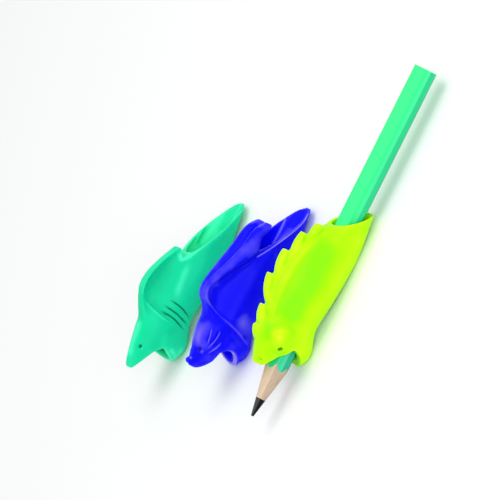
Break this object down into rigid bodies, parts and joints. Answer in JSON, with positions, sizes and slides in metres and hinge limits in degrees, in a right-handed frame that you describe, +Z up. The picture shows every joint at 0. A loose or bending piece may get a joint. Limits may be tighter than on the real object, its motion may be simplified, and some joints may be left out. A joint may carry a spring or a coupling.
{
  "type": "pencil grip set",
  "caption": "Soft animal-shaped pencil grips with a round bore and scooped tail, standing in a row; a sharpened hexagonal pencil slides through the crested one.",
  "frame": {"origin": "middle of the whole set's box, on the surface that the grips stand on", "axes": "+X along the pencil from its tip to its end, +Y across the row from the lizard to the shark, +Z up out of the animals' backs"},
  "size_m": [0.1179, 0.0873, 0.0236],
  "materials": {
    "teal_rubber": "satin",
    "violet_rubber": "satin",
    "lime_rubber": "satin",
    "slat_wood": "cut",
    "graphite": "burnished",
    "green_lacquer": "gloss"
  },
  "bodies": {
    "grips": {"shark_grip": "teal_rubber", "rabbit_grip": "violet_rubber", "lizard_grip": "lime_rubber"},
    "pencil": {"pencil_slat_upper": "slat_wood", "pencil_slat_lower": "slat_wood", "pencil_lead": "graphite", "pencil_lacquer": "green_lacquer"}
  },
  "joints": [
    {"name": "pencil_slide", "type": "slide", "parent": "grips", "child": "pencil", "axis": [1, 0, 0], "range_m": [-0.045, 0.03]}
  ]
}
